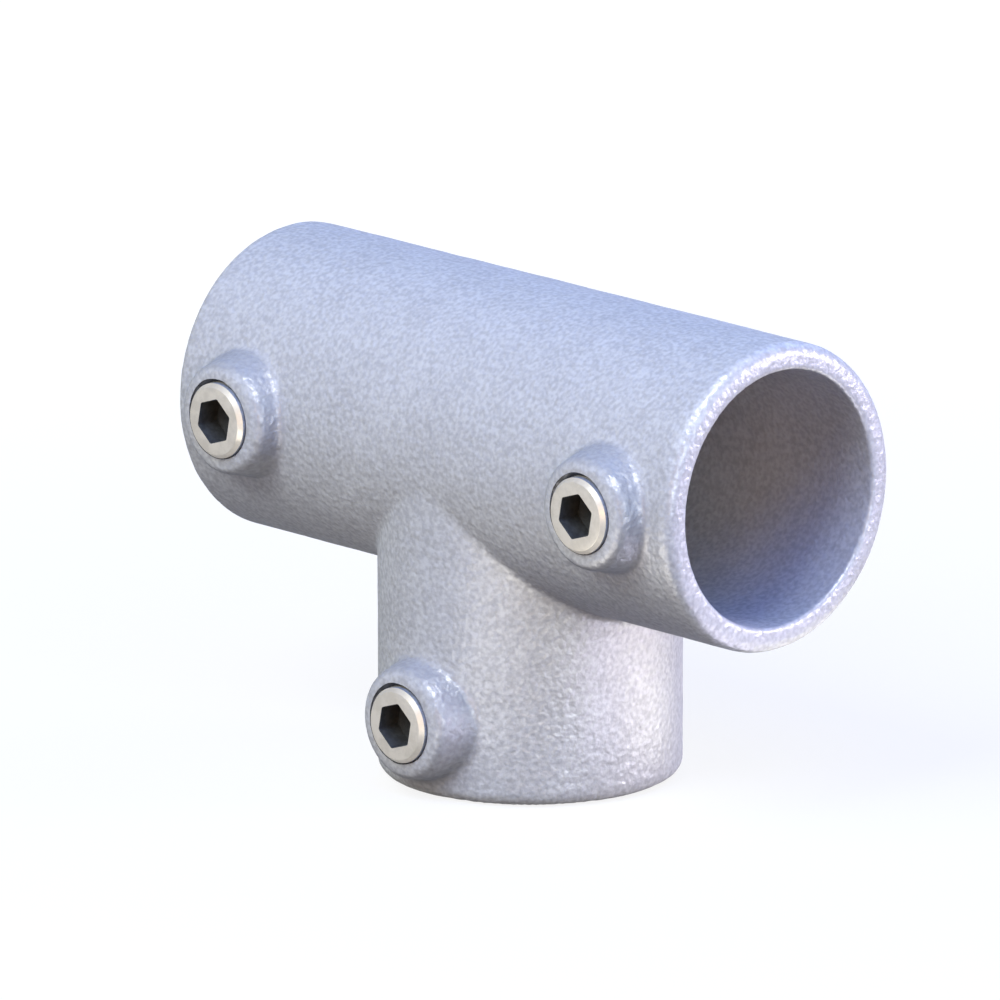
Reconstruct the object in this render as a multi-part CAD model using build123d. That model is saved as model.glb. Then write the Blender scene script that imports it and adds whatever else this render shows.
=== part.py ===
from build123d import *
import math
import os

# Clamp tee for round tube: a cast rail sleeve with a branch socket under its
# middle, and a hexagon-socket set screw in a boss at each of its three ends.
# Origin: where the rail sleeve's axis crosses the branch socket's axis.
# +X runs along the rail sleeve, -Y is the screws' side, and the branch socket
# opens towards -Z. Millimetres and degrees.

# Tube that the sockets take
TUBE_DIAMETER = 48.3
TUBE_PLAY = 0.75  # radial, between a tube and its bore

# Rail sleeve
RAIL_LENGTH = 135.0
RAIL_WALL = 5.05

# Branch socket
BRANCH_WALL = 4.4
BRANCH_REACH = 66.0  # rail axis to the branch's end face
LEDGE_THICKNESS = 6.0  # metal between the rail bore's lowest line and the tube stop
LEDGE_WIDTH = 5.4  # radial, the ring that stops the branch tube

# Cast edges
RIM_ROUND = 2.5  # outer edge of each open end
MOUTH_ROUND = 0.8  # inner edge of each open end
CROTCH_ROUND = 2.0  # where the branch runs into the rail sleeve
NECK_ROUND = 1.2  # both edges of the opening between the bores

# Screw bosses
RAIL_BOSS_HEIGHT = 5.3  # above the rail sleeve's nearest line
BRANCH_BOSS_HEIGHT = 5.5  # above the branch socket's nearest line
BOSS_RIM_RADIUS = 10.5  # at the boss's face, before its edge is rounded
BOSS_DRAFT = 15.0
BOSS_RIM_ROUND = 2.2
BOSS_FOOT_ROUND = 1.4
RAIL_SCREW_INSET = 18.0  # screw's axis to the sleeve's end face
BRANCH_SCREW_INSET = 15.1  # screw's axis to the branch's end face

# Set screws, 3/8 inch pipe thread, left plain here at its outside diameter
THREAD_DIAMETER = 16.66
THREAD_PLAY = 0.05  # radial, between a screw and its hole
SCREW_LENGTH = 11.2
SCREW_STAND = 1.43  # outer face proud of the boss
SCREW_FACE_RADIUS = 6.5
SCREW_CHAMFER = 45.0
HEX_ACROSS_FLATS = 8.0
HEX_DEPTH = 5.0
HEX_TURN = 19.0  # one corner above +X, seen from the screws' side
DRILL_POINT = 118.0  # cone under the hexagon
TIP_RADIUS = 6.2
TIP_BEVEL = 1.5  # axial
CUP_RADIUS = 5.5
CUP_FLOOR_RADIUS = 3.4
CUP_DEPTH = 1.3

# Derived sizes
bore_radius = TUBE_DIAMETER / 2 + TUBE_PLAY
rail_radius = bore_radius + RAIL_WALL
branch_radius = bore_radius + BRANCH_WALL
rail_end = RAIL_LENGTH / 2
ledge_level = -(bore_radius + LEDGE_THICKNESS)
neck_radius = bore_radius - LEDGE_WIDTH
hole_radius = THREAD_DIAMETER / 2
shank_radius = hole_radius - THREAD_PLAY


def turned(points, plane):
    """A solid of revolution about a plane's normal, from (radius, height) points."""
    outline = make_face(Polyline(*[(r, 0, h) for r, h in points], close=True))
    return plane * revolve(outline, Axis.Z)


def facing(x, y, z, outward):
    """A plane whose normal is outward and whose own X is level."""
    level = (0, 1, 0) if outward[0] else (1, 0, 0)
    return Plane(origin=(x, y, z), x_dir=level, z_dir=outward)


def circle_edges(solid, radius, axis):
    """The full circles of one radius that lie square to an axis."""
    circles = solid.edges().filter_by(GeomType.CIRCLE)
    return [
        e for e in circles
        if abs(e.radius - radius) < 1e-4 and abs(abs(e.normal().dot(axis.direction)) - 1) < 1e-6
    ]


def rail_skin():
    """The rail sleeve's outside, with both rims rounded."""
    axis_plane = facing(-rail_end, 0, 0, (1, 0, 0))
    bar = axis_plane * Cylinder(
        rail_radius, RAIL_LENGTH, align=(Align.CENTER, Align.CENTER, Align.MIN)
    )
    return fillet(circle_edges(bar, rail_radius, Axis.X), RIM_ROUND)


def branch_skin():
    """The branch socket's outside, from its rounded rim up to the rail's axis."""
    bar = facing(0, 0, 0, (0, 0, -1)) * Cylinder(
        branch_radius, BRANCH_REACH, align=(Align.CENTER, Align.CENTER, Align.MIN)
    )
    rim = ShapeList(circle_edges(bar, branch_radius, Axis.Z)).sort_by(Axis.Z)[0]
    return fillet(rim, RIM_ROUND)


def screw_stations():
    """For each set screw: where its axis stands, and its boss face's height."""
    rail_face = rail_radius + RAIL_BOSS_HEIGHT
    branch_face = branch_radius + BRANCH_BOSS_HEIGHT
    along = rail_end - RAIL_SCREW_INSET
    return {
        "left": (-along, 0, rail_face),
        "right": (along, 0, rail_face),
        "branch": (0, BRANCH_SCREW_INSET - BRANCH_REACH, branch_face),
    }


def boss_skin(x, z, face):
    """A drafted round boss with a rounded rim, rooted in the wall below it."""
    root = bore_radius - MOUTH_ROUND
    spread = (face - root) * math.tan(math.radians(BOSS_DRAFT))
    cone = facing(x, -root, z, (0, -1, 0)) * Cone(
        BOSS_RIM_RADIUS + spread, BOSS_RIM_RADIUS, face - root,
        align=(Align.CENTER, Align.CENTER, Align.MIN),
    )
    return fillet(circle_edges(cone, BOSS_RIM_RADIUS, Axis.Y), BOSS_RIM_ROUND)


def blend_on(body, added, radius):
    """Join a piece to a body and round the corner where their skins cross."""
    joined = body + added
    return fillet(new_edges(body, added, combined=joined), radius)


def casting_skin():
    """The outside of the whole casting."""
    skin = blend_on(rail_skin(), branch_skin(), CROTCH_ROUND)
    for station in screw_stations().values():
        skin = blend_on(skin, boss_skin(*station), BOSS_FOOT_ROUND)
    return skin


def bores():
    """Everything that is cut from the casting for the tubes."""
    rail = facing(-rail_end, 0, 0, (1, 0, 0)) * Cylinder(
        bore_radius, RAIL_LENGTH, align=(Align.CENTER, Align.CENTER, Align.MIN)
    )
    socket = facing(0, 0, ledge_level, (0, 0, -1)) * Cylinder(
        bore_radius, BRANCH_REACH + ledge_level, align=(Align.CENTER, Align.CENTER, Align.MIN)
    )
    neck = facing(0, 0, 0, (0, 0, -1)) * Cylinder(
        neck_radius, -ledge_level, align=(Align.CENTER, Align.CENTER, Align.MIN)
    )
    return rail, socket, neck


def tapped_hole(x, z, face):
    """The hole for one set screw, from its boss face into the bore."""
    return facing(x, 0, z, (0, -1, 0)) * Cylinder(
        hole_radius, face, align=(Align.CENTER, Align.CENTER, Align.MIN)
    )


def tee_casting():
    """The body, bored, tapped and with its inner edges rounded."""
    rail, socket, neck = bores()
    body = casting_skin() - rail - socket
    mouths = circle_edges(body, bore_radius, Axis.X) + [
        e for e in circle_edges(body, bore_radius, Axis.Z) if e.center().Z < ledge_level - 1
    ]
    body = fillet(mouths, MOUTH_ROUND)
    opened = body - neck
    body = fillet(new_edges(body, neck, combined=opened), NECK_ROUND)
    for station in screw_stations().values():
        body = body - tapped_hole(*station)
    return body


def hex_socket():
    """The wrench socket, sunk from the screw's outer face down its own -Z."""
    hexagon = Rotation(0, 0, HEX_TURN) * RegularPolygon(
        HEX_ACROSS_FLATS / 2, 6, major_radius=False
    )
    flat_radius = HEX_ACROSS_FLATS / 2
    point = flat_radius / math.tan(math.radians(DRILL_POINT / 2))
    cone = turned([(0, -HEX_DEPTH), (flat_radius, -HEX_DEPTH), (0, -HEX_DEPTH - point)], Plane.XY)
    return extrude(hexagon, -HEX_DEPTH) + cone


def set_screw(x, z, face):
    """One set screw at its station, outer face towards -Y and cup towards the bore."""
    chamfer = (shank_radius - SCREW_FACE_RADIUS) * math.tan(math.radians(SCREW_CHAMFER))
    blank = turned(
        [
            (0, 0),
            (SCREW_FACE_RADIUS, 0),
            (shank_radius, -chamfer),
            (shank_radius, TIP_BEVEL - SCREW_LENGTH),
            (TIP_RADIUS, -SCREW_LENGTH),
            (CUP_RADIUS, -SCREW_LENGTH),
            (CUP_FLOOR_RADIUS, CUP_DEPTH - SCREW_LENGTH),
            (0, CUP_DEPTH - SCREW_LENGTH),
        ],
        Plane.XY,
    )
    seat = facing(x, -face - SCREW_STAND, z, (0, -1, 0))
    return seat * (blank - hex_socket())


def main():
    os.makedirs("parts", exist_ok=True)
    nodes = {"tee_casting": tee_casting()}
    for name, station in screw_stations().items():
        nodes["set_screw_" + name] = set_screw(*station)
    for name, solid in nodes.items():
        export_step(solid, "parts/" + name + ".step")


main()
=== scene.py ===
"""A clamp tee for round tube: one galvanised casting and its three set screws.

Lengths are in metres. +X runs along the rail sleeve, -Y is the screws' side,
and the branch socket opens towards -Z.
"""

import math

import bmesh
import bpy
import numpy as np
from bpy.props import FloatProperty, FloatVectorProperty, IntProperty, PointerProperty
from mathutils import Matrix, Vector


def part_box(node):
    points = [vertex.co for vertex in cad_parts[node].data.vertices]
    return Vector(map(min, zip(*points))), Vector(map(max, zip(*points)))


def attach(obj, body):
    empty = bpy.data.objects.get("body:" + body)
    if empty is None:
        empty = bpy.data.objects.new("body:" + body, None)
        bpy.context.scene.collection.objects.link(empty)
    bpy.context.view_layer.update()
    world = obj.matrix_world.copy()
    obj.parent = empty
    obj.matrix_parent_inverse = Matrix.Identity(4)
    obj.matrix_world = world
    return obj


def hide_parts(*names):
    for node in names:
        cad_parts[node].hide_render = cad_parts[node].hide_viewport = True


bl_info = {
    "name": "Clamp tee for round tube",
    "version": (1, 0, 0),
    "blender": (4, 5, 0),
    "location": "View3D > Sidebar > Clamp tee",
    "description": "Builds a galvanised clamp tee, its three set screws and a plain studio",
    "category": "Object",
}

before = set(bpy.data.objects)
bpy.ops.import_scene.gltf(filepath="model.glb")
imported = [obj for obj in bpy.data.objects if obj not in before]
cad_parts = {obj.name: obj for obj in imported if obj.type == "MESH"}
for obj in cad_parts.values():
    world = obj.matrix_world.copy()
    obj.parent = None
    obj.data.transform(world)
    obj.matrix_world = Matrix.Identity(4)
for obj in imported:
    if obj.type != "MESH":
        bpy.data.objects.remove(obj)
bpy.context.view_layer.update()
CASTING_LOW, CASTING_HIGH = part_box("tee_casting")

MM = 0.001
WELD = 1e-6  # points nearer than this are one point
SCREWS = ("left", "right", "branch")
X_AXIS, Y_AXIS, Z_AXIS = np.eye(3)


# ---------------------------------------------------------------- sizes


def length(name, description, default, low=0.0):
    """A length that a user can change, shown in the scene's own unit."""
    return FloatProperty(
        name=name, description=description, default=default, min=low,
        subtype="DISTANCE", unit="LENGTH", precision=5,
    )


def shade(name, description, default):
    """A colour that a user can change."""
    return FloatVectorProperty(
        name=name, description=description, default=default,
        size=3, min=0.0, max=1.0, subtype="COLOR",
    )


class CastingSizes(bpy.types.PropertyGroup):
    """Sizes of the casting's skin that its surface is finished to."""

    bore_radius: length("Bore radius", "Radius of all three tube openings", 24.9 * MM)
    branch_radius: length("Branch radius", "Outside radius of the branch socket", 29.3 * MM)
    ledge_level: length("Tube stop", "Height of the branch tube's stop", -30.9 * MM, -1.0)
    neck_radius: length("Neck radius", "Radius of the opening between the bores", 19.5 * MM)
    rim_round: length("Rim round", "Outer edge of each open end", 2.5 * MM)
    mouth_round: length("Mouth round", "Inner edge of each open end", 0.8 * MM)
    crotch_round: length("Crotch round", "Fillet where the branch meets the sleeve", 2.0 * MM)
    neck_round: length("Neck round", "Both edges of the neck", 1.2 * MM)
    boss_radius: length("Boss radius", "Radius of a boss face before its round", 10.5 * MM)
    boss_draft: FloatProperty(
        name="Boss draft", description="Slope of a boss's flank",
        default=math.radians(15), subtype="ANGLE", unit="ROTATION",
    )
    boss_rim_round: length("Boss rim round", "Edge of a boss's face", 2.2 * MM)
    boss_foot_round: length("Boss foot round", "Fillet at a boss's foot", 1.4 * MM)
    branch_boss: length("Branch boss height", "Above the branch socket's skin", 5.5 * MM)
    skin_cell: length("Skin cell", "Size of one face of the cast skin", 1.0 * MM, 0.1 * MM)
    swell: length("Swell", "Height of the broad unevenness", 0.16 * MM)
    swell_width: length("Swell width", "Width of the broad unevenness", 13.0 * MM)
    pitting: length("Pitting", "Height of the close unevenness", 0.09 * MM)
    pitting_width: length("Pitting width", "Width of the close unevenness", 3.6 * MM)


class ScrewSizes(bpy.types.PropertyGroup):
    """Sizes of the set screws and of the holes tapped for them."""

    thread_radius: length("Thread radius", "Outside radius of the screw's thread", 8.28 * MM)
    root_radius: length("Root radius", "Radius at the bottom of the screw's thread", 7.45 * MM)
    pitch: length("Pitch", "Height of one turn of the thread", 1.337 * MM, 0.2 * MM)
    thread_play: length("Thread play", "Gap between the screw and its hole", 0.05 * MM)
    face_radius: length("Face radius", "Flat outer face", 6.5 * MM)
    neck_radius: length("Neck radius", "Plain neck between the face and the thread", 7.35 * MM)
    neck_depth: length("Neck depth", "Outer face to the first full thread", 2.1 * MM)
    across_flats: length("Across flats", "Width of the wrench socket", 8.0 * MM)
    socket_depth: length("Socket depth", "Depth of the wrench socket", 5.0 * MM)
    socket_turn: FloatProperty(
        name="Socket turn", description="Turn of the wrench socket from the level",
        default=math.radians(19), subtype="ANGLE", unit="ROTATION",
    )
    tip_radius: length("Tip radius", "Outside of the cup point", 6.2 * MM)
    tip_bevel: length("Tip bevel", "Height of the bevel above the cup point", 1.5 * MM)
    cup_radius: length("Cup radius", "Cutting edge of the cup", 5.5 * MM)
    cup_floor: length("Cup floor", "Radius of the cup's floor", 3.4 * MM)
    cup_depth: length("Cup depth", "Depth of the cup", 1.3 * MM)
    turn_steps: IntProperty(
        name="Steps", description="Faces round one turn of the thread", default=60, min=12
    )


class Finishes(bpy.types.PropertyGroup):
    """Colours of the two metals; the bare iron, thread and socket colours are also darkened as
    painted shade.
    """

    zinc: shade("Zinc", "Galvanised skin of the casting", (0.584, 0.574, 0.566))
    zinc_deep: shade("Deep zinc", "Duller zinc in the grain's hollows", (0.388, 0.376, 0.378))
    # Bare iron, made near-black to paint the shade in the tapped holes and their mouths.
    bare_iron_and_shade: shade("Bare iron", "Threads cut through the zinc", (0.08, 0.08, 0.085))
    plating: shade("Plating", "Passivated set screws", (0.62, 0.568, 0.478))
    # Also darkened as painted shade in the gap round each screw, and used on the neck.
    thread: shade("Thread", "Oiled threads of the set screws", (0.40, 0.42, 0.48))
    # Near-black, painted as the shade deep in each wrench socket.
    socket: shade("Socket", "Oiled walls of the wrench sockets", (0.038, 0.039, 0.039))


class StudioSettings(bpy.types.PropertyGroup):
    """Camera and lamps."""

    azimuth: FloatProperty(
        name="Azimuth", description="Camera's turn from the screws' side",
        default=math.radians(45.714), subtype="ANGLE", unit="ROTATION",
    )
    elevation: FloatProperty(
        name="Elevation", description="Camera's height above the level",
        default=math.radians(14.881), subtype="ANGLE", unit="ROTATION",
    )
    distance: length("Distance", "Camera to the fitting", 3.42945)
    slide: length("Slide", "Camera's aim to the right", -0.00583, -1.0)
    lift: length("Lift", "Camera's aim upwards", -0.01253, -1.0)
    lens: FloatProperty(
        name="Lens", description="Focal length of the camera", default=644.9, min=1.0,
        subtype="DISTANCE_CAMERA", unit="CAMERA",
    )
    lamp_level: FloatProperty(
        name="Lamp level", description="Scales every lamp", default=1.0, min=0.0
    )


# ---------------------------------------------------------------- surfaces
# A surface is a pair: how far each point stands outside it, and which way is out.


def barrel(p, axis, radius, centre=(0, 0, 0)):
    """A round bar without ends along an axis through a centre."""
    off = (p - np.asarray(centre)) * (1 - np.abs(axis))
    reach = np.maximum(np.linalg.norm(off, axis=1), 1e-9)
    return reach - radius, off / reach[:, None]


def slab(p, axis, low, high):
    """All that lies between two levels along an axis."""
    off = p @ axis - (low + high) / 2
    return np.abs(off) - (high - low) / 2, np.sign(off)[:, None] * axis


def cone_flank(p, x, z, face_y, radius, draft):
    """The flank of a drafted round boss that narrows towards -Y."""
    off = (p - np.array((x, 0, z))) * (1, 0, 1)
    reach = np.maximum(np.linalg.norm(off, axis=1), 1e-9)
    side, rise = math.cos(draft), math.sin(draft)
    away = (reach - radius) * side + (face_y - p[:, 1]) * rise
    return away, off / reach[:, None] * side - Y_AXIS * rise


def flipped(surface):
    """What lies outside a surface."""
    return -surface[0], -surface[1]


def roll(first, second, radius, sense):
    """A ball rolled along two surfaces: its depth and way out, and where it touches both."""
    (a, na), (b, nb) = first, second
    u, v = radius + sense * a, radius + sense * b
    lean = np.clip((na * nb).sum(1), -0.999, 0.999)
    spread = 1 - lean**2
    alpha, beta = (u - lean * v) / spread, (v - lean * u) / spread
    out = alpha[:, None] * na + beta[:, None] * nb
    depth = np.maximum(np.linalg.norm(out, axis=1), 1e-9)
    return depth, out / depth[:, None], (alpha > 0) & (beta > 0)


def blended(first, second, radius, sense):
    """Joins (sense -1) or crosses (sense 1) two surfaces and rounds the corner between."""
    nearer = sense * first[0] > sense * second[0]
    away = np.where(nearer, first[0], second[0])
    out = np.where(nearer[:, None], first[1], second[1])
    if radius:
        depth, way, inside = roll(first, second, radius, sense)
        away = np.where(inside, sense * (depth - radius), away)
        out = np.where(inside[:, None], way, out)
    return away, out


def joined(first, second, fillet=0.0):
    """Both solids together, with a fillet in the corner."""
    return blended(first, second, fillet, -1)


def crossed(first, second, round_off=0.0):
    """What both solids share, with the edge rounded."""
    return blended(first, second, round_off, 1)


def screw_station(name):
    """The middle of a set screw's outer face, and the screw's length."""
    low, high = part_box("set_screw_" + name)
    return Vector(((low.x + high.x) / 2, low.y, (low.z + high.z) / 2)), high.y - low.y


def boss_face(name, sizes):
    """How far out a boss's face stands along Y."""
    if name == "branch":
        return -(sizes.branch_radius + sizes.branch_boss)
    return CASTING_LOW.y


def casting_surface(p, sizes):
    """The casting's whole skin and bores, before its screw holes are tapped."""
    rail_end, branch_end = CASTING_HIGH.x, CASTING_LOW.z
    rail = crossed(
        barrel(p, X_AXIS, CASTING_HIGH.z), slab(p, X_AXIS, -rail_end, rail_end), sizes.rim_round
    )
    branch = crossed(
        barrel(p, Z_AXIS, sizes.branch_radius), slab(p, Z_AXIS, branch_end, 0), sizes.rim_round
    )
    skin = joined(rail, branch, sizes.crotch_round)
    root = sizes.bore_radius - sizes.mouth_round
    for name in SCREWS:
        at, face = screw_station(name)[0], boss_face(name, sizes)
        flank = cone_flank(p, at.x, at.z, face, sizes.boss_radius, sizes.boss_draft)
        boss = crossed(flank, slab(p, Y_AXIS, face, -root), sizes.boss_rim_round)
        skin = joined(skin, boss, sizes.boss_foot_round)
    rail_bore = barrel(p, X_AXIS, sizes.bore_radius)
    socket = crossed(
        barrel(p, Z_AXIS, sizes.bore_radius), slab(p, Z_AXIS, 2 * branch_end, sizes.ledge_level)
    )
    neck = crossed(barrel(p, Z_AXIS, sizes.neck_radius), slab(p, Z_AXIS, 2 * branch_end, 0))
    body = crossed(skin, flipped(rail_bore), sizes.mouth_round)
    body = crossed(body, flipped(socket), sizes.mouth_round)
    return crossed(body, flipped(neck), sizes.neck_round)


# ---------------------------------------------------------------- mesh helpers


def mesh_from(bm, name):
    """A mesh datablock from a bmesh, which is freed."""
    mesh = bpy.data.meshes.new(name)
    bm.to_mesh(mesh)
    bm.free()
    return mesh


def new_piece(name, mesh, finish=None):
    """An object at the origin that shows a mesh in one finish."""
    if finish:
        mesh.materials.clear()
        mesh.materials.append(finish)
    piece = bpy.data.objects.new(name, mesh)
    bpy.context.scene.collection.objects.link(piece)
    return piece


def apply_modifiers(piece):
    """Bakes a piece's modifiers into its mesh."""
    bpy.context.view_layer.update()
    shown = piece.evaluated_get(bpy.context.evaluated_depsgraph_get())
    mesh = bpy.data.meshes.new_from_object(shown)
    piece.modifiers.clear()
    piece.data = mesh


def combine(piece, cutter, operation):
    """Cuts, joins or crosses a piece with a closed helper, which is then removed."""
    step = piece.modifiers.new(operation.title(), "BOOLEAN")
    step.operation, step.object, step.solver = operation, cutter, "EXACT"
    step.material_mode = "TRANSFER"
    before = len(piece.data.polygons)
    apply_modifiers(piece)
    bpy.data.objects.remove(cutter)
    after = len(piece.data.polygons)
    if after == before or after < before / 2:
        title = f"{piece.name}: {operation.lower()}"
        raise RuntimeError(f"{title} failed, {before} faces to {after}")


def crisp(mesh, angle, slots):
    """Smooth faces, but edges sharper than an angle stay crisp beside the slots' finishes."""
    mesh.shade_smooth()
    bm = bmesh.new()
    bm.from_mesh(mesh)
    bmesh.ops.remove_doubles(bm, verts=bm.verts, dist=2 * WELD)
    for edge in bm.edges:
        cut = any(face.material_index in slots for face in edge.link_faces)
        edge.smooth = not cut or edge.calc_face_angle(0.0) < angle
    bm.to_mesh(mesh)
    bm.free()


def turned(bm, outline, steps):
    """Spins an outline of (radius, height) points about Z into a closed solid."""
    points = [bm.verts.new((r, 0, h)) for r, h in outline]
    edges = [bm.edges.new(pair) for pair in zip(points, points[1:])]
    bmesh.ops.spin(
        bm, geom=points + edges, cent=(0, 0, 0), axis=(0, 0, 1),
        angle=2 * math.pi, steps=steps, use_merge=True,
    )
    bmesh.ops.remove_doubles(bm, verts=bm.verts, dist=WELD / 2)
    bmesh.ops.recalc_face_normals(bm, faces=bm.faces)


def threaded_rod(bm, root, crest, pitch, low, high, steps):
    """A closed rod with a right-hand thread about Z, between two levels."""
    parts, blunt = 8, 1.3  # points along one turn's outline, and how flat its crests are
    middle, reach = (root + crest) / 2, (crest - root) / 2
    start = pitch * math.floor(low / pitch - 1.5)
    outline = []
    for i in range(parts + 1):
        swing = max(-1.0, min(1.0, -blunt * math.cos(2 * math.pi * i / parts)))
        outline.append(bm.verts.new((middle + reach * swing, 0, start + pitch * i / parts)))
    edges = [bm.edges.new(pair) for pair in zip(outline, outline[1:])]
    bmesh.ops.spin(
        bm, geom=outline + edges, cent=(0, 0, 0), axis=(0, 0, 1),
        dvec=(0, 0, pitch / steps), angle=2 * math.pi, steps=steps,
    )
    turn = bm.verts[:] + bm.edges[:] + bm.faces[:]
    for count in range(1, math.ceil((high - start) / pitch) + 2):
        grown = bmesh.ops.duplicate(bm, geom=turn)["geom"]
        ring = [v for v in grown if isinstance(v, bmesh.types.BMVert)]
        bmesh.ops.translate(bm, verts=ring, vec=(0, 0, pitch * count))
    bmesh.ops.remove_doubles(bm, verts=bm.verts, dist=WELD)
    for level, way in ((low, -1), (high, 1)):
        cut = bmesh.ops.bisect_plane(
            bm, geom=bm.verts[:] + bm.edges[:] + bm.faces[:], dist=1e-8,
            plane_co=(0, 0, level), plane_no=(0, 0, way), clear_outer=True,
        )
        rim = [e for e in cut["geom_cut"] if isinstance(e, bmesh.types.BMEdge)]
        bmesh.ops.contextual_create(bm, geom=rim)
    bmesh.ops.recalc_face_normals(bm, faces=bm.faces)


def seated(bm, name):
    """Turns a bmesh made about Z so that +Z points out of a screw's station."""
    at, _ = screw_station(name)
    out = Matrix(((1, 0, 0, at.x), (0, 0, -1, at.y), (0, 1, 0, at.z), (0, 0, 0, 1)))
    bmesh.ops.transform(bm, matrix=out, verts=bm.verts)
    return bm


# ---------------------------------------------------------------- shader helpers


class Shader:
    """Adds nodes to a tree in few words."""

    def __init__(self, tree):
        self.tree = tree

    def add(self, kind, **inputs):
        """A node; an input is a number, a colour or another node's output."""
        node = self.tree.nodes.new(kind)
        for name, value in inputs.items():
            self.feed(node, name.replace("_", " "), value)
        return node

    def feed(self, node, socket, value):
        """Sets or links one input."""
        target = node.inputs[socket]
        if isinstance(value, bpy.types.NodeSocket):
            self.tree.links.new(value, target)
        else:
            target.default_value = value

    def calc(self, operation, first, second, third=None):
        """One Math node's result."""
        node = self.tree.nodes.new("ShaderNodeMath")
        node.operation = operation
        for index, value in enumerate((first, second, third)):
            if isinstance(value, bpy.types.NodeSocket):
                self.tree.links.new(value, node.inputs[index])
            elif value is not None:
                node.inputs[index].default_value = value
        return node.outputs[0]

    def ramp(self, value, low, high, start=0.0, end=1.0):
        """A value taken smoothly from one range to another."""
        node = self.add("ShaderNodeMapRange", Value=value)
        node.interpolation_type = "SMOOTHSTEP"
        ends = {"From Min": low, "From Max": high, "To Min": start, "To Max": end}
        for socket, number in ends.items():
            node.inputs[socket].default_value = number
        return node.outputs[0]

    def mix(self, share, first, second):
        """Two colours mixed by a share."""
        node = self.tree.nodes.new("ShaderNodeMix")
        node.data_type = "RGBA"
        for index, value in ((0, share), (6, first), (7, second)):
            if isinstance(value, bpy.types.NodeSocket):
                self.tree.links.new(value, node.inputs[index])
            else:
                node.inputs[index].default_value = value
        return node.outputs[2]


def opaque(colour):
    """A colour with full alpha."""
    return (*colour, 1.0)


def node_group(name, inputs, outputs):
    """A new shader group with number inputs and outputs, and its shader helper."""
    group = bpy.data.node_groups.new(name, "ShaderNodeTree")
    group.interface.new_socket("Vector", in_out="INPUT", socket_type="NodeSocketVector")
    for label, default in inputs.items():
        socket = group.interface.new_socket(label, in_out="INPUT", socket_type="NodeSocketFloat")
        socket.default_value = default
    for label in outputs:
        group.interface.new_socket(label, in_out="OUTPUT", socket_type="NodeSocketFloat")
    entry, leave = group.nodes.new("NodeGroupInput"), group.nodes.new("NodeGroupOutput")
    return group, Shader(group), entry, leave


def grain_group():
    """Fine uneven relief that both metals carry at their own scale."""
    name = "cast_grain"
    if name in bpy.data.node_groups:
        return bpy.data.node_groups[name]
    group, s, entry, leave = node_group(
        name, {"Width": 1.6 * MM, "Wander": 0.5, "Fine share": 0.25}, ("Height", "Hollow")
    )
    scale = s.calc("DIVIDE", 1.0, entry.outputs["Width"])
    broad = s.add("ShaderNodeTexNoise", Vector=entry.outputs["Vector"], Scale=scale,
                  Detail=0.0, Distortion=entry.outputs["Wander"]).outputs["Fac"]
    fine = s.add("ShaderNodeTexNoise", Vector=entry.outputs["Vector"],
                 Scale=s.calc("MULTIPLY", scale, 2.1), Detail=1.0, Roughness=0.5).outputs["Fac"]
    share = entry.outputs["Fine share"]
    height = s.calc("ADD", s.calc("MULTIPLY", broad, s.calc("SUBTRACT", 1.0, share)),
                   s.calc("MULTIPLY", fine, share))
    s.tree.links.new(height, leave.inputs["Height"])
    s.tree.links.new(s.ramp(height, 0.74, 0.26), leave.inputs["Hollow"])
    return group


def mottle_group():
    """Broad uneven patches, from 0 to 1, for a finish that varies."""
    name = "patchy_finish"
    if name in bpy.data.node_groups:
        return bpy.data.node_groups[name]
    group, s, entry, leave = node_group(name, {"Width": 9 * MM}, ("Patch",))
    scale = s.calc("DIVIDE", 1.0, entry.outputs["Width"])
    cloud = s.add("ShaderNodeTexNoise", Vector=entry.outputs["Vector"], Scale=scale,
                  Detail=4.0, Roughness=0.6)
    s.tree.links.new(s.ramp(cloud.outputs["Fac"], 0.35, 0.65), leave.inputs["Patch"])
    return group


def placed(s, group, vector, **values):
    """A group node fed with a vector and numbers."""
    node = s.tree.nodes.new("ShaderNodeGroup")
    node.node_tree = group
    s.feed(node, "Vector", vector)
    for label, value in values.items():
        s.feed(node, label.replace("_", " "), value)
    return node


def empty_material(name):
    """A material with its shader helper, Principled node and Object coordinates."""
    material = bpy.data.materials.new(name)
    material.use_nodes = True
    tree = material.node_tree
    place = tree.nodes.new("ShaderNodeTexCoord").outputs["Object"]
    return material, Shader(tree), tree.nodes["Principled BSDF"], place


def painted_flank_shade(s, place):
    """1 on the sides and feet of the three bosses, where shade is painted, and 0 elsewhere."""
    rim, foot = (9.4 * MM, 10.6 * MM), (13.3 * MM, 12.1 * MM)
    screws_side = (-20 * MM, -24 * MM)
    near = s.add("ShaderNodeSeparateXYZ", Vector=place)
    shade_mask = 0.0
    for name in SCREWS:
        station, _ = screw_station(name)
        aside = s.calc("SUBTRACT", near.outputs["X"], station.x)
        above = s.calc("SUBTRACT", near.outputs["Z"], station.z)
        square = s.calc("MULTIPLY_ADD", aside, aside, s.calc("MULTIPLY", above, above))
        away = s.calc("SQRT", square, 0.0)
        ring = s.calc("MULTIPLY", s.ramp(away, *rim), s.ramp(away, *foot))
        shade_mask = s.calc("MAXIMUM", shade_mask, ring)
    return s.calc("MULTIPLY", shade_mask, s.ramp(near.outputs["Y"], *screws_side))


def wrinkle(s, metal, height, depth, strength):
    """Bumps a metal by a height."""
    bump = s.add("ShaderNodeBump", Strength=strength, Distance=depth, Height=height)
    s.feed(metal, "Normal", bump.outputs["Normal"])


def scaled(colour, share):
    """A colour made darker or lighter by a share."""
    return tuple(part * share for part in colour)


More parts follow.
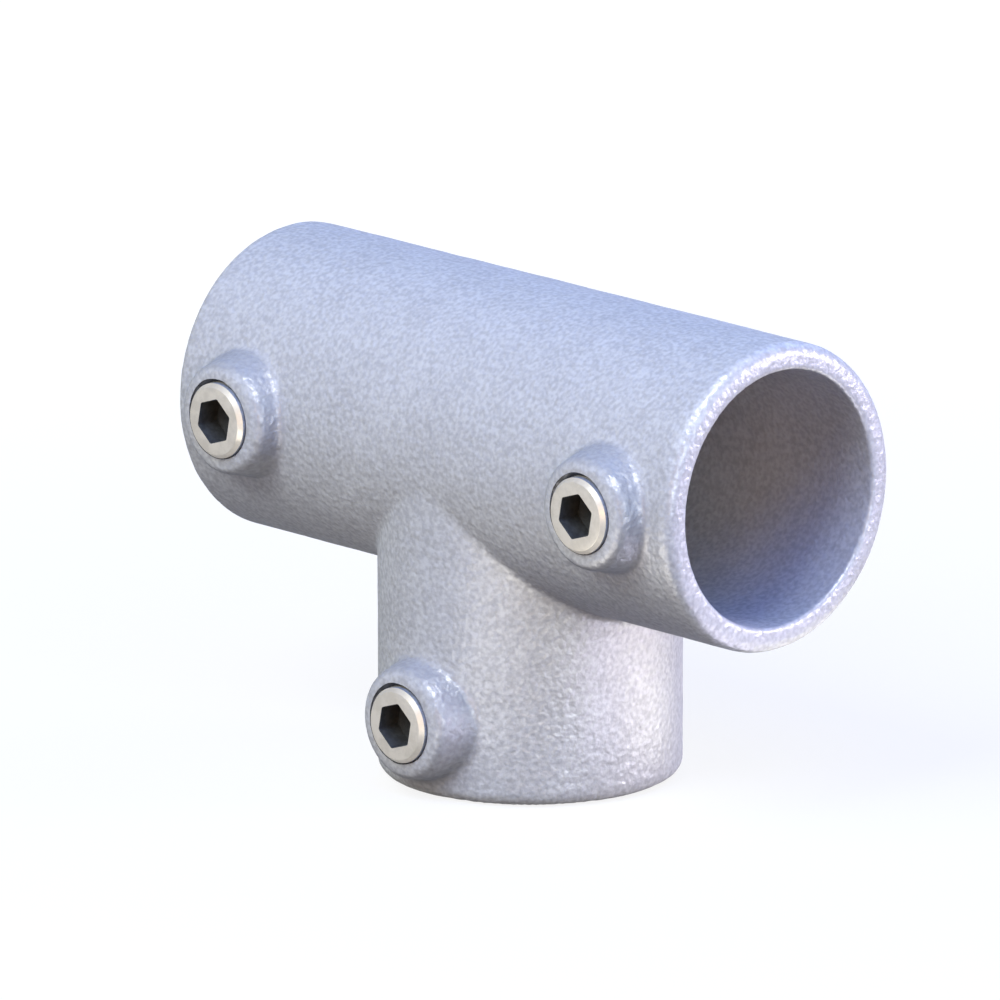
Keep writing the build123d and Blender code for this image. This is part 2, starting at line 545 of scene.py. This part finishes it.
def galvanised_iron(colours):
    """Hot-dipped zinc over cast iron: pale, matt, finely wrinkled, with shade painted darker on
    the boss flanks.
    """
    material, s, metal, place = empty_material("galvanised_iron")
    grain = placed(s, grain_group(), place, Width=1.35 * MM, Wander=0.3, Fine_share=0.3)
    patch = placed(s, mottle_group(), place, Width=8 * MM).outputs["Patch"]
    pits = placed(s, grain_group(), place, Width=0.9 * MM, Wander=0.2, Fine_share=0.35)
    hollow = s.calc("MULTIPLY", pits.outputs["Hollow"], 0.7)
    share = s.calc("ADD", hollow, s.calc("MULTIPLY", patch, 0.14))
    skin = s.mix(share, opaque(colours.zinc), opaque(colours.zinc_deep))
    # Painted shade: the boss flanks mix halfway to a darker zinc, standing for the shade that
    # falls on them.
    shade_mask = s.calc("MULTIPLY", painted_flank_shade(s, place), 0.5)
    darker_tone = opaque(scaled(colours.zinc_deep, 0.75))
    s.feed(metal, "Base Color", s.mix(shade_mask, skin, darker_tone))
    metal.inputs["Metallic"].default_value = 0.20
    metal.inputs["Specular IOR Level"].default_value = 0.0
    s.feed(metal, "Roughness", s.calc("MULTIPLY_ADD", share, 0.10, 0.35))
    wrinkle(s, metal, grain.outputs["Height"], 0.26 * MM, 1.0)
    return material


def bare_iron_and_shade(colours):
    """Threads cut in the casting after the zinc: bare iron, painted near-black as the shade in the
    holes, and oily.
    """
    material, s, metal, place = empty_material("bare_iron_and_shade")
    patch = placed(s, mottle_group(), place, Width=1.5 * MM).outputs["Patch"]
    dark = scaled(colours.bare_iron_and_shade, 0.6)
    s.feed(metal, "Base Color", s.mix(patch, opaque(colours.bare_iron_and_shade), opaque(dark)))
    metal.inputs["Metallic"].default_value = 0.8
    s.feed(metal, "Roughness", s.calc("MULTIPLY_ADD", patch, 0.2, 0.35))
    return material


def plated_steel(colours):
    """Passivated zinc plate on turned steel, with faint tool marks."""
    material, s, metal, place = empty_material("plated_steel")
    patch = placed(s, mottle_group(), place, Width=2.5 * MM).outputs["Patch"]
    darker_tone = scaled(colours.plating, 0.86)
    s.feed(metal, "Base Color", s.mix(patch, opaque(colours.plating), opaque(darker_tone)))
    metal.inputs["Metallic"].default_value = 0.55
    s.feed(metal, "Roughness", s.calc("MULTIPLY_ADD", patch, 0.12, 0.34))
    grain = placed(s, grain_group(), place, Width=0.5 * MM, Wander=0.3, Fine_share=0.6)
    wrinkle(s, metal, grain.outputs["Height"], 0.03 * MM, 0.5)
    return material


def thread_and_neck_shade(colours):
    """The screws' threads and necks: oily, and darkened as painted shade for the gap round each
    screw.
    """
    material, s, metal, place = empty_material("thread_and_neck_shade")
    patch = placed(s, mottle_group(), place, Width=1.4 * MM).outputs["Patch"]
    dark = scaled(colours.thread, 0.55)
    s.feed(metal, "Base Color", s.mix(patch, opaque(colours.thread), opaque(dark)))
    metal.inputs["Metallic"].default_value = 0.4
    s.feed(metal, "Roughness", s.calc("MULTIPLY_ADD", patch, 0.2, 0.40))
    return material


def painted_socket_shade(colours):
    """The wrench socket's walls: painted near-black as the shade deep in the socket, and a little
    oily.
    """
    material, s, metal, place = empty_material("painted_socket_shade")
    patch = placed(s, mottle_group(), place, Width=1.2 * MM).outputs["Patch"]
    light = scaled(colours.socket, 1.6)
    s.feed(metal, "Base Color", s.mix(patch, opaque(colours.socket), opaque(light)))
    metal.inputs["Metallic"].default_value = 0.0
    metal.inputs["Specular IOR Level"].default_value = 0.2
    s.feed(metal, "Roughness", s.calc("MULTIPLY_ADD", patch, 0.15, 0.60))
    return material


# ---------------------------------------------------------------- operators


class TEE_OT_casting(bpy.types.Operator):
    """Build the galvanised casting: sleeve, branch socket, bosses and tapped holes"""

    bl_idname = "tee.casting"
    bl_label = "Casting"

    PLUG_EXTRA = 0.3 * MM  # a plug's radius over the thread's
    PLUG_SIDES = 48
    MOUTH_ZONE = 1.4 * MM  # how far from a mouth's edge the faces are finer
    TAP_DEPTH = 13 * MM  # from a boss's face, past the bore's skin
    FLARE_GAP, FLARE_DEPTH = 0.13 * MM, 0.15 * MM
    FLARE_SIDES = 61  # not in step with the thread's turn
    CRISP = math.radians(30)
    HOLE_SHADE_SLOT = 1

    def execute(self, context):
        sizes, screw = context.scene.tee_casting, context.scene.tee_screw
        body = new_piece("cast_body", self.plugged(sizes, screw))
        skin = body.modifiers.new("Skin", "REMESH")
        skin.mode, skin.voxel_size = "VOXEL", sizes.skin_cell * 1
        apply_modifiers(body)
        self.settle(body.data, sizes)
        self.roughen(body, sizes)
        # The tapped holes and their mouths get the bare iron darkened as painted shade.
        hole_dark = bare_iron_and_shade(context.scene.tee_finish)
        body.data.materials.clear()
        body.data.materials.append(galvanised_iron(context.scene.tee_finish))
        for name in SCREWS:
            hole = new_piece("hole", self.tap(name, sizes, screw), hole_dark)
            combine(hole, new_piece("flare", self.flare(name, sizes, screw), hole_dark), "UNION")
            combine(body, hole, "DIFFERENCE")
        crisp(body.data, self.CRISP, (self.HOLE_SHADE_SLOT,))
        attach(body, "casting")
        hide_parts("tee_casting")
        return {"FINISHED"}

    def plugged(self, sizes, screw):
        """The casting's solid with its screw holes filled."""
        bm = bmesh.new()
        bm.from_mesh(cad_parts["tee_casting"].data)
        bmesh.ops.remove_doubles(bm, verts=bm.verts, dist=WELD)
        wide = screw.thread_radius + self.PLUG_EXTRA
        for name in SCREWS:
            at, face = screw_station(name)[0], boss_face(name, sizes)
            depth = -face - sizes.bore_radius
            seat = Matrix.Translation((at.x, face + depth / 2, at.z))
            bmesh.ops.create_cone(
                bm, cap_ends=True, segments=self.PLUG_SIDES, depth=depth,
                radius1=wide, radius2=wide, matrix=seat @ Matrix.Rotation(math.pi / 2, 4, "X"),
            )
        return mesh_from(bm, "cast_body")

    @staticmethod
    def near_mouth(p, sizes, margin):
        """Which points lie close to the inner edge of an open end."""
        end, depth = sizes.bore_radius + sizes.mouth_round / 2, sizes.mouth_round / 2
        rail = np.hypot(np.abs(p[:, 0]) - CASTING_HIGH.x + depth, np.hypot(p[:, 1], p[:, 2]) - end)
        branch = np.hypot(p[:, 2] - CASTING_LOW.z - depth, np.hypot(p[:, 0], p[:, 1]) - end)
        return np.minimum(rail, branch) < margin

    def settle(self, mesh, sizes):
        """Evens out the skin's faces and lays every point on the true surface."""
        bm = bmesh.new()
        bm.from_mesh(mesh)
        self.lay(bm, sizes)
        close = self.near_mouth(np.array([v.co for v in bm.verts]), sizes, self.MOUTH_ZONE)
        bm.verts.index_update()
        fine = [e for e in bm.edges if close[e.verts[0].index] and close[e.verts[1].index]]
        bmesh.ops.subdivide_edges(bm, edges=fine, cuts=1, use_grid_fill=True)
        bmesh.ops.triangulate(bm, faces=[f for f in bm.faces if len(f.verts) > 4])
        self.lay(bm, sizes)
        bm.to_mesh(mesh)
        bm.free()

    @staticmethod
    def lay(bm, sizes):
        """Evens the points along the surface and drops them on to it, twice."""
        for _ in range(2):
            bmesh.ops.smooth_vert(
                bm, verts=bm.verts, factor=0.5,
                use_axis_x=True, use_axis_y=True, use_axis_z=True,
            )
            p = np.array([v.co for v in bm.verts])
            for _ in range(3):
                away, out = casting_surface(p, sizes)
                p -= np.clip(away, -MM, MM)[:, None] * out
            for vert, co in zip(bm.verts, p):
                vert.co = co

    @staticmethod
    def roughen(body, sizes):
        """Gives the skin the unevenness of a sand casting."""
        body.data.shade_smooth()
        for label, height, width in (
            ("swell", sizes.swell, sizes.swell_width),
            ("pitting", sizes.pitting, sizes.pitting_width),
        ):
            cloud = bpy.data.textures.new("casting_" + label, "CLOUDS")
            cloud.noise_scale, cloud.noise_depth = width, 1
            step = body.modifiers.new(label.title(), "DISPLACE")
            step.texture, step.texture_coords = cloud, "LOCAL"
            step.strength, step.mid_level = height, 0.5
        apply_modifiers(body)

    def tap(self, name, sizes, screw):
        """What the drill and the tap take out for one screw."""
        mouth = boss_face(name, sizes) - screw_station(name)[0].y
        bm = bmesh.new()
        threaded_rod(
            bm, screw.root_radius + screw.thread_play, screw.thread_radius + screw.thread_play,
            screw.pitch, -mouth - self.TAP_DEPTH, -mouth + MM, screw.turn_steps,
        )
        return mesh_from(seated(bm, name), "tap")

    def flare(self, name, sizes, screw):
        """What the countersink takes out at one screw's mouth."""
        mouth = boss_face(name, sizes) - screw_station(name)[0].y
        wide, deep = screw.root_radius + self.FLARE_GAP, self.FLARE_DEPTH
        bm = bmesh.new()
        turned(bm, [
            (0, -mouth + MM), (wide + MM, -mouth + MM),
            (wide - deep, -mouth - deep), (0, -mouth - deep),
        ], self.FLARE_SIDES)
        return mesh_from(seated(bm, name), "flare")


class TEE_OT_set_screws(bpy.types.Operator):
    """Build the three cup-point set screws with their threads and wrench sockets"""

    bl_idname = "tee.set_screws"
    bl_label = "Set screws"

    BLANK_SIDES, DRILL_SIDES = 96, 48
    CRISP = math.radians(28)
    # Slot 0 also covers the neck; slots 0 and 2 are darkened as painted shade.
    SLOTS = (0, 1, 2)  # thread, plating and wrench socket
    HALF_POINT = math.radians(59)  # half the drill's point
    CORNER_ROUND = 0.3 * MM  # each corner of the wrench socket
    SOCKET_EASE = 0.08 * MM  # broken edge of the wrench socket
    FACE_EASE = 0.12 * MM  # broken edge of the outer face
    THREAD_TRIM = 0.1 * MM  # clear of the thread's crests
    DRILL_INSET = 0.1 * MM  # the drill's hole inside the socket's flats
    NECK_BAND = 0.02 * MM  # how near the neck's radius a face counts as neck

    def execute(self, context):
        screw = context.scene.tee_screw
        plating = plated_steel(context.scene.tee_finish)
        socket_dark = painted_socket_shade(context.scene.tee_finish)
        thread_dark = thread_and_neck_shade(context.scene.tee_finish)
        for name in SCREWS:
            reach = screw_station(name)[1]
            title = name + "_set_screw"
            bm = bmesh.new()
            threaded_rod(
                bm, screw.root_radius, screw.thread_radius, screw.pitch,
                -reach - MM, MM, screw.turn_steps,
            )
            piece = new_piece(title, mesh_from(seated(bm, name), title), thread_dark)
            blank = new_piece("blank", self.blank(name, reach, screw), plating)
            combine(piece, blank, "INTERSECT")
            for cutter in (self.hexagon, self.drill):
                combine(piece, new_piece("cutter", cutter(name, screw), socket_dark), "DIFFERENCE")
            self.paint_neck_shade(piece.data, name, screw)
            crisp(piece.data, self.CRISP, self.SLOTS)
            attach(piece, name + "_screw")
            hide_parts("set_screw_" + name)
        return {"FINISHED"}

    def blank(self, name, reach, screw):
        """The turned outline that the threaded rod is trimmed to."""
        face, neck, deep = screw.face_radius, screw.neck_radius, screw.neck_depth
        wide, ease = screw.thread_radius + self.THREAD_TRIM, self.FACE_EASE
        bm = bmesh.new()
        turned(bm, [
            (0, 0), (face, 0), (face + ease, -ease / 3), (neck, face - neck), (neck, -deep),
            (wide, -deep - wide + neck), (wide, screw.tip_bevel - reach),
            (screw.tip_radius, -reach), (screw.cup_radius, -reach),
            (screw.cup_floor, screw.cup_depth - reach), (0, screw.cup_depth - reach),
        ], self.BLANK_SIDES)
        return mesh_from(seated(bm, name), "blank")

    def paint_neck_shade(self, mesh, name, screw):
        """Paints the neck under the bevel with the thread's dark colour, as the shade in the gap
        round the screw.
        """
        at, _ = screw_station(name)
        near = screw.neck_radius - self.NECK_BAND
        for face in mesh.polygons:
            off = face.center - at
            if math.hypot(off.x, off.z) > near and off.y < screw.neck_depth:
                face.material_index = 0

    def hexagon(self, name, screw):
        """What the broach takes out for the wrench, a little eased at the mouth."""
        corner, ease = screw.across_flats / math.sqrt(3), self.SOCKET_EASE
        turn = Matrix.Rotation(screw.socket_turn - math.radians(30), 3, "Z")
        bm = bmesh.new()
        points = bmesh.ops.create_circle(bm, cap_ends=True, segments=6, radius=corner)["verts"]
        bmesh.ops.rotate(bm, verts=points, cent=(0, 0, 0), matrix=turn)
        bmesh.ops.translate(bm, verts=points, vec=(0, 0, -screw.socket_depth))
        bmesh.ops.bevel(
            bm, geom=points, offset=self.CORNER_ROUND, offset_type="OFFSET", segments=2,
            profile=0.5, affect="VERTICES", material=-1,
        )
        top, level = bm.faces[:], -screw.socket_depth
        for height, widening in ((-ease, 1.0), (ease, 1 + 2 * ease / corner)):
            floor = top
            grown = bmesh.ops.extrude_face_region(bm, geom=floor)["geom"]
            ring = [v for v in grown if isinstance(v, bmesh.types.BMVert)]
            top = [f for f in grown if isinstance(f, bmesh.types.BMFace)]
            if level > -screw.socket_depth:
                bmesh.ops.delete(bm, geom=floor, context="FACES_ONLY")
            bmesh.ops.translate(bm, verts=ring, vec=(0, 0, height - level))
            bmesh.ops.scale(bm, verts=ring, vec=(widening, widening, 1))
            level = height
        bmesh.ops.recalc_face_normals(bm, faces=bm.faces)
        return mesh_from(seated(bm, name), "socket")

    def drill(self, name, screw):
        """What the drill leaves under the wrench socket."""
        wide, floor = screw.across_flats / 2 - self.DRILL_INSET, -screw.socket_depth
        top, point = floor + self.DRILL_INSET, wide / math.tan(self.HALF_POINT)
        bm = bmesh.new()
        turned(bm, [(0, top), (wide, top), (wide, floor), (0, floor - point)], self.DRILL_SIDES)
        return mesh_from(seated(bm, name), "drill")


class TEE_OT_studio(bpy.types.Operator):
    """Set up the floor, the white surround, the lamps and the camera"""

    bl_idname = "tee.studio"
    bl_label = "Studio"

    LAMP_DISTANCE = 1.3
    LAMPS = (
        # name, direction, size, colour, watts, whether it lights, is mirrored, or both
        ("key", (0.719, 0.695, 0.05), 0.45, (0.88, 0.82, 1.0), 20.5, "BOTH"),
        ("side", (1.0, -0.1, 0.25), 1.00, (0.54, 0.77, 1.0), 5.9, "BOTH"),
        ("near_side", (0.7, -0.7, 0.15), 0.50, (1.0, 0.55, 0.15), 2.4, "BOTH"),
        ("back", (0.0, 0.7, 0.7), 0.80, (0.14, 0.38, 1.0), 6.6, "BOTH"),
        ("front", (0.0, -0.7, 0.7), 0.80, (0.86, 0.94, 1.0), 19.6, "MATT"),
        ("high", (0.43, -0.26, 0.865), 0.80, (0.04, 0.22, 1.0), 12.0, "MATT"),
        ("glint", (0.43, -0.24, 0.87), 0.55, (0.90, 0.95, 1.0), 18.0, "MIRRORED"),
        ("edge", (0.93, -0.26, 0.05), 0.40, (0.95, 0.97, 1.0), 5.5, "MIRRORED"),
    )
    FLOOR_GAP = 0.2 * MM  # the rough rim's lowest points stay above the floor
    CARD_LIFT = 1 * MM
    CARDS = (
        # name, place on the floor, size, colour, watts; only mirrored
        ("near_card", (0.070, 0.055), 0.07, (1.0, 1.0, 0.84), 0.062),
        ("side_card", (0.100, 0.020), 0.07, (0.78, 0.77, 1.0), 0.090),
        ("front_card", (0.045, -0.115), 0.08, (1.0, 0.95, 0.85), 0.090),
    )

    def execute(self, context):
        scene, studio = context.scene, context.scene.tee_studio
        self.floor(scene)
        self.surround(scene)
        for name, direction, *rest, shows in self.LAMPS:
            way = Vector(direction).normalized()
            lamp = self.lamp(scene, studio, name, way * self.LAMP_DISTANCE, way, *rest)
            lamp.visible_glossy, lamp.visible_diffuse = shows != "MATT", shows != "MIRRORED"
        for name, (x, y), *rest in self.CARDS:
            place = Vector((x, y, CASTING_LOW.z + self.CARD_LIFT))
            card = self.lamp(scene, studio, name, place, Vector((0, 0, -1)), *rest)
            card.visible_camera = card.visible_diffuse = False
        self.camera(scene, studio)
        scene.view_settings.view_transform = "Standard"
        return {"FINISHED"}

    @staticmethod
    def seen(s):
        """1 for rays from the camera, a mirror or glass."""
        path = s.add("ShaderNodeLightPath").outputs
        both = s.calc("MAXIMUM", path["Is Camera Ray"], path["Is Glossy Ray"])
        return s.calc("MAXIMUM", both, path["Is Transmission Ray"])

    def floor(self, scene):
        """A pale floor that takes the fitting's shadow, and is clear from below."""
        bm = bmesh.new()
        bmesh.ops.create_grid(bm, x_segments=8, y_segments=8, size=8.0)
        bmesh.ops.translate(bm, verts=bm.verts, vec=(0, 0, CASTING_LOW.z - self.FLOOR_GAP))
        floor = new_piece("floor", mesh_from(bm, "floor"))
        material = bpy.data.materials.new("pale_floor")
        material.use_nodes = True
        tree = material.node_tree
        tree.nodes.remove(tree.nodes["Principled BSDF"])
        s = Shader(tree)
        matt = s.add("ShaderNodeBsdfDiffuse", Color=(0.15, 0.15, 0.15, 1))
        place = tree.nodes.new("ShaderNodeTexCoord").outputs["Object"]
        away = s.add("ShaderNodeVectorMath", Vector=place)
        away.operation = "LENGTH"
        level = s.ramp(away.outputs["Value"], 0.10, 0.60, 0.85, 1.0)
        glow = s.add("ShaderNodeEmission", Strength=s.calc("MULTIPLY", self.seen(s), level))
        top = tree.nodes.new("ShaderNodeAddShader")
        tree.links.new(matt.outputs[0], top.inputs[0])
        tree.links.new(glow.outputs[0], top.inputs[1])
        underneath = tree.nodes.new("ShaderNodeNewGeometry").outputs["Backfacing"]
        sides = s.add("ShaderNodeMixShader", Fac=underneath)
        tree.links.new(top.outputs[0], sides.inputs[1])
        tree.links.new(s.add("ShaderNodeBsdfTransparent").outputs[0], sides.inputs[2])
        tree.links.new(sides.outputs[0], tree.nodes["Material Output"].inputs["Surface"])
        floor.data.materials.append(material)

    def surround(self, scene):
        """A white surround that is seen and mirrored, but doesn't light matt surfaces."""
        world = bpy.data.worlds.new("surround")
        world.use_nodes = True
        scene.world = world
        s = Shader(world.node_tree)
        behind = world.node_tree.nodes["Background"]
        s.feed(behind, "Strength", self.seen(s))
        s.feed(behind, "Color", opaque((1, 1, 1)))

    @staticmethod
    def lamp(scene, studio, name, place, back, size, colour, watts):
        """One square lamp, which shines away from its back."""
        light = bpy.data.lights.new(name, "AREA")
        light.shape, light.size, light.color = "SQUARE", size, colour
        light.energy = watts * studio.lamp_level
        lamp = bpy.data.objects.new(name, light)
        lamp.location = place
        lamp.rotation_euler = back.to_track_quat("Z", "Y").to_euler()
        scene.collection.objects.link(lamp)
        return lamp

    @staticmethod
    def camera(scene, studio):
        """A long lens at the height of a standing eye."""
        a, e = studio.azimuth, studio.elevation
        back = Vector((math.sin(a) * math.cos(e), -math.cos(a) * math.cos(e), math.sin(e)))
        right = Vector((math.cos(a), math.sin(a), 0))
        aim = right * studio.slide + back.cross(right) * studio.lift
        view = bpy.data.cameras.new("camera")
        view.lens, view.sensor_width = studio.lens, 36.0
        view.clip_start, view.clip_end = 0.1, 40.0
        camera = bpy.data.objects.new("camera", view)
        camera.location = aim + back * studio.distance
        camera.rotation_mode = "QUATERNION"
        camera.rotation_quaternion = back.to_track_quat("Z", "Y")
        scene.collection.objects.link(camera)
        scene.camera = camera


class TEE_PT_panel(bpy.types.Panel):
    """Lists the fitting's sizes, colours and build steps"""

    bl_idname = "TEE_PT_panel"
    bl_label = "Clamp tee"
    bl_space_type = "VIEW_3D"
    bl_region_type = "UI"
    bl_category = "Clamp tee"

    def draw(self, context):
        for group in GROUPS:
            settings = getattr(context.scene, group)
            box = self.layout.box()
            for name in settings.bl_rna.properties.keys():
                if name not in ("rna_type", "name"):
                    box.prop(settings, name)
        for operator in OPERATORS:
            self.layout.operator(operator.bl_idname)


GROUPS = {
    "tee_casting": CastingSizes,
    "tee_screw": ScrewSizes,
    "tee_finish": Finishes,
    "tee_studio": StudioSettings,
}
OPERATORS = (TEE_OT_casting, TEE_OT_set_screws, TEE_OT_studio)


def register():
    """Makes the sizes, colours, steps and panel known to Blender."""
    for cls in (*GROUPS.values(), *OPERATORS, TEE_PT_panel):
        bpy.utils.register_class(cls)
    for name, group in GROUPS.items():
        setattr(bpy.types.Scene, name, PointerProperty(type=group))


def unregister():
    """Takes back what register made known."""
    for name in GROUPS:
        delattr(bpy.types.Scene, name)
    for cls in reversed((*GROUPS.values(), *OPERATORS, TEE_PT_panel)):
        bpy.utils.unregister_class(cls)


def main():
    """Builds the whole scene."""
    register()
    bpy.ops.tee.casting()
    bpy.ops.tee.set_screws()
    bpy.ops.tee.studio()


if __name__ == "__main__":
    main()
